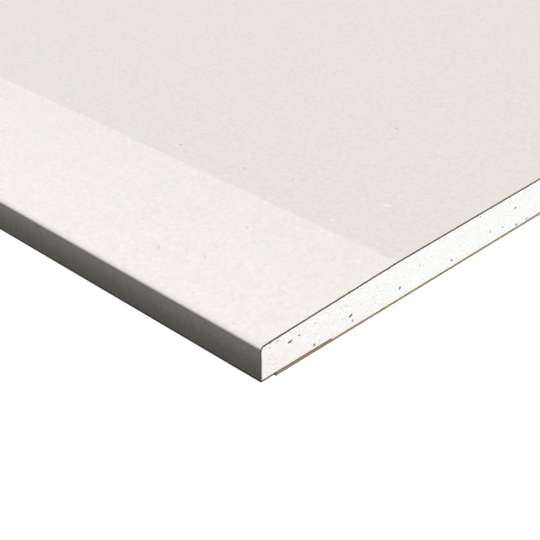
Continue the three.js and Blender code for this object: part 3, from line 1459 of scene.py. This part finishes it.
@dataclass(frozen=True)
class GypsumCore:
    """The gypsum core: a slab that fills the wrap, with a sawn face at each end."""

    sizes: BoardSizes
    fine_across: float = 0.13 * MM
    fine_up: float = 0.17 * MM
    coarse: float = 9 * MM
    reach: float = 66 * MM
    growth: float = 1.08
    fold_points: int = 17  # so many that a fold's middle is one of them

    def outline(self) -> tuple[np.ndarray, ...]:
        """Splits the core's section into four sides between the middles of its folds.

        Returns:
            The bottom and the top, both from left to right, then the left and the right, both upwards.
        """
        s = self.sizes
        half = Wrap(s).half(s.face_paper, Wrap.bare_stations(self.fold_points))
        foot = 1 + self.fold_points // 2  # the number of the point in the middle of the foot's fold
        shoulder = foot + self.fold_points
        mirror = np.array([-1, 1])
        bottom_half = np.concatenate([half[foot::-1], [[half[0, 0], s.back_paper]]])
        bottom = np.concatenate([bottom_half, bottom_half[::-1] * mirror])
        top = np.concatenate([half[shoulder:], half[-2:shoulder - 1:-1] * mirror])
        left = half[foot:shoulder + 1]
        return bottom, top, left, left * mirror

    def columns(self, bottom: np.ndarray, top: np.ndarray) -> np.ndarray:
        """Places the grid's columns: fine near the left edge, coarse past it, and one at every corner.

        A column that would stand within half a fine step of a corner of either line gives way to it.

        Args:
            bottom: the section's bottom line, from left to right.
            top: its top line, from left to right.

        Returns:
            Rising distances along the bottom line. Those along the top are the same shares of its length.
        """
        reached = [run_length(line) for line in (bottom, top)]
        width = reached[0][-1]
        corners = np.unique(np.concatenate([line / line[-1] * width for line in reached]))
        spaced = graded(width, self.fine_across, self.coarse, self.reach, self.growth)
        nearest = np.abs(spaced[:, None] - corners).min(axis=1)
        return np.sort(np.concatenate([spaced[nearest > self.fine_across / 2], corners]))

    def face_grid(self) -> np.ndarray:
        """Fills the section with a grid of points that blends its four sides.

        Point (i, j) is the mean of the bottom and top lines by height plus the mean of the left and right
        lines by width, less the blend of the four corners, which is a Coons patch.

        Returns:
            Points as x and z, rows by columns by two.
        """
        bottom, top, left, right = self.outline()
        columns = self.columns(bottom, top)
        rise = run_length(left)[-1]
        s = columns / columns[-1]
        t = np.linspace(0, 1, round(rise / self.fine_up))
        below, above = along(bottom, columns), along(top, s * run_length(top)[-1])
        near, far = along(left, t * rise)[:, None], along(right, t * rise)[:, None]
        s, t = s[None, :, None], t[:, None, None]
        sides = (1 - t) * below[None] + t * above[None] + (1 - s) * near + s * far
        low, high = ((1 - s) * line[0] + s * line[-1] for line in (below, above))
        return sides - ((1 - t) * low + t * high)

    def build(self) -> Piece:
        """Makes the two sawn faces and joins their rims along the board.

        Returns:
            The finished piece.
        """
        s = self.sizes
        x, z = np.moveaxis(self.face_grid(), -1, 0)
        across, height = (x + s.width / 2) / MM, z / MM
        spacing = np.broadcast_to(np.gradient(across[0]), across.shape)
        points, voids = [], []
        for end in End:
            back, dark = SawnFace(end, self.fine_across / MM).relief(across, height, spacing)
            y = end.value * (s.length / 2 - back * MM)
            points.append(np.stack([x, y, z], axis=-1).reshape(-1, 3))
            # The painted shade of the pits and voids.
            voids.append(dark.ravel())
        faces = np.concatenate(slab_quads(x.shape))
        gypsum = CastGypsum("cast_gypsum", s.width / 2 / MM, s.back_paper / MM).material()
        piece = make_piece("gypsum_core_slab", np.concatenate(points), [faces], [gypsum])
        # The void attribute carries that painted shade to the gypsum's finish.
        set_attribute(piece, "void", np.concatenate(voids))
        return piece


@dataclass(frozen=True)
class BackPaper:
    """The brown back paper: one flat sheet under the core and over the face paper's two flaps."""

    sizes: BoardSizes
    fine: float = 0.8 * MM
    coarse: float = 25 * MM
    reach: float = 110 * MM
    row_coarse: float = 40 * MM
    row_reach: float = 6 * MM
    ragged: float = 0.12 * MM
    # The seeds of the underside's and the top's ragged ends. Those of their sides are so much higher.
    seeds: tuple[int, int] = (71, 72)
    side_seed: int = 4
    # The tufts' sizes in millimetres, at the cut ends and along the sides, which are twice as ragged.
    end_cell: float = 0.9
    side_cell: float = 3.0
    clean: float = 0.3  # how much less dusty its inside is where the core was cast on it
    # how far the painted shade along its sides reaches in, where the flaps meet it
    seam_shade_reach: float = 0.8 * MM

    def build(self) -> Piece:
        """Carries the paper's thin rectangle along the board, with ragged cut ends and sides.

        Returns:
            The finished piece.
        """
        s = self.sizes
        width = s.width - 2 * s.setback
        columns = graded(width, self.fine, self.coarse, self.reach) - width / 2
        rows = graded(s.length, self.fine, self.row_coarse, self.row_reach) - s.length / 2
        x, y = np.meshgrid(columns, rows)
        levels = []
        for seed, z in zip(self.seeds, (0.0, s.back_paper)):
            level = np.stack([x, y, np.full_like(x, z)], axis=-1)
            end = smooth_noise(columns / MM, np.zeros_like(columns), self.end_cell, seed)
            side = 2 * smooth_noise(rows / MM, np.zeros_like(rows), self.side_cell, seed + self.side_seed)
            level[0, :, 1] += self.ragged * end
            level[-1, :, 1] -= self.ragged * end
            level[:, 0, 0] += self.ragged * side
            level[:, -1, 0] -= self.ragged * side
            levels.append(level.reshape(-1, 3))
        finishes = [
            KraftPaper("brown_kraft_liner").material(),
            CutPaper("sawn_kraft_paper", brown=("706353", "a19078"), rubbed=0.85).material(),
        ]
        faces = [quads[:, ::-1] for quads in slab_quads(x.shape)]
        piece = make_piece("back_paper_liner", np.concatenate(levels), faces, finishes)
        aside = np.abs(x).ravel()
        cast_on = aside < s.width / 2 - s.flap
        set_attribute(piece, "ply", np.concatenate([np.zeros(x.size), 1 - self.clean * cast_on]))
        set_attribute(piece, "kraft", np.ones(2 * x.size))
        # Painted shade along its sides, where the face paper's flaps meet it.
        seam_shade = np.clip(1 - (width / 2 - aside) / self.seam_shade_reach, 0, 1)
        set_attribute(piece, "seam_shade", np.tile(seam_shade, 2))
        return piece


# ---- Studio ----


@dataclass(frozen=True)
class Viewpoint:
    """A hand-held look down on the near left corner, from a place measured from that corner in metres."""

    place: tuple[float, float, float] = (-180.78 * MM, -209.34 * MM, 205.14 * MM)
    heading: float = math.radians(48.35)
    down: float = math.radians(31.87)
    roll: float = math.radians(-3.65)
    lens: float = 93.03  # in millimetres, as its sensor
    sensor: float = 36.0
    clip: tuple[float, float] = (0.02, 100.0)

    def build(self, corner: Vector) -> Piece:
        """Makes the scene's camera.

        Args:
            corner: the sheet's near left bottom corner.

        Returns:
            The camera.
        """
        h, d, r = self.heading, self.down, self.roll
        ahead = Vector((math.cos(d) * math.cos(h), math.cos(d) * math.sin(h), -math.sin(d)))
        level = Vector((math.sin(h), -math.cos(h), 0.0))
        upright = level.cross(ahead)
        right = math.cos(r) * level + math.sin(r) * upright
        up = -math.sin(r) * level + math.cos(r) * upright
        data = bpy.data.cameras.new("camera")
        data.lens = self.lens
        data.sensor_width = self.sensor
        data.clip_start, data.clip_end = self.clip
        camera = bpy.data.objects.new("camera", data)
        turn = Matrix((right, up, -ahead)).transposed().to_4x4()
        camera.matrix_world = Matrix.Translation(corner + Vector(self.place)) @ turn
        bpy.context.scene.collection.objects.link(camera)
        bpy.context.scene.camera = camera
        return camera


@dataclass(frozen=True)
class Lamp:
    """A studio lamp so far away that its light falls evenly on the whole sheet."""

    name: str
    strength: float
    heading: float
    height: float
    spread: float

    def build(self) -> Piece:
        """Hangs the lamp.

        Returns:
            The light, whose heading is measured from -Y towards +X and its height from the floor.
        """
        data = bpy.data.lights.new(self.name, "SUN")
        data.energy = self.strength
        data.angle = self.spread
        light = bpy.data.objects.new(self.name, data)
        e, a = self.height, self.heading
        towards = Vector((math.cos(e) * math.sin(a), -math.cos(e) * math.cos(a), math.sin(e)))
        light.rotation_euler = towards.to_track_quat("Z", "Y").to_euler()
        bpy.context.scene.collection.objects.link(light)
        return light


@dataclass(frozen=True)
class Studio:
    """A white light table in a pale room, with a soft key lamp at the near end and a fill at the far one."""

    table_reach: float = 60.0
    table_drop: float = 0.02 * MM
    sky: float = 0.33
    below: float = 0.06
    horizon: float = 0.05  # the sine of how far above and below level these two blend

    LAMPS: ClassVar = (
        Lamp("key", 3.20, math.radians(2), math.radians(34.6), math.radians(9)),
        Lamp("fill", 1.40, math.radians(178), math.radians(15), math.radians(30)),
    )

    def build(self) -> None:
        """Makes the table, the lamps and the room."""
        self.table()
        for lamp in self.LAMPS:
            lamp.build()
        self.room()
        bpy.context.scene.view_settings.view_transform = "Standard"

    def table(self) -> Piece:
        """Lays the table just under the sheet. Its glow is only for the eye: it doesn't light the sheet.

        Returns:
            Nothing, as mark_backdrop gives nothing back.
        """
        r, z = self.table_reach, -self.table_drop
        points = np.array([[-r, -r, z], [r, -r, z], [r, r, z], [-r, r, z]])
        opal = LightTable("opal_table").material()
        table = make_piece("light_table", points, [np.array([[0, 1, 2, 3]])], [opal])
        table.visible_diffuse = False
        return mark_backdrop(table)

    def room(self) -> bpy.types.World:
        """Gives the room its light, even above the horizon and dim below it, and white walls to look at.

        Returns:
            The world.
        """
        world = bpy.data.worlds.new("room")
        world.use_nodes = True
        tree = world.node_tree
        tree.nodes.clear()
        direction = add(tree, "TexCoord").outputs["Generated"]
        height = add(tree, "SeparateXYZ", {0: direction}).outputs[2]
        levels = {0: height, 1: -self.horizon, 2: self.horizon, 3: self.below, 4: self.sky}
        strength = add(tree, "MapRange", levels).outputs[0]
        light = add(tree, "Background", {"Color": WHITE, "Strength": strength})
        walls = add(tree, "Background", {"Color": WHITE, "Strength": 1.0})
        seen = add(tree, "LightPath").outputs["Is Camera Ray"]
        both = add(tree, "MixShader", {0: seen, 1: light.outputs[0], 2: walls.outputs[0]})
        add(tree, "OutputWorld", {"Surface": both.outputs[0]})
        bpy.context.scene.world = world
        return world


def place_on_frame(piece: Piece, node: str) -> None:
    """Puts a finished piece in its node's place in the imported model.

    Args:
        piece: the finished piece.
        node: the node that it stands for.
    """
    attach(piece, "root")
    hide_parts(node)
    log.info("%s stands for %s: %d faces", piece.name, node, len(piece.data.polygons))


def main() -> None:
    """Builds the studio and the sheet, piece by piece."""
    logging.basicConfig(level=logging.INFO, format="%(name)s: %(message)s")
    sizes = BoardSizes.from_frame()
    Viewpoint().build(corner=CAD_BOX[0])
    Studio().build()
    place_on_frame(GypsumCore(sizes).build(), "gypsum_core")
    place_on_frame(FacePaper(sizes).build(), "face_paper")
    place_on_frame(BackPaper(sizes).build(), "back_paper")


if __name__ == "__main__":
    main()
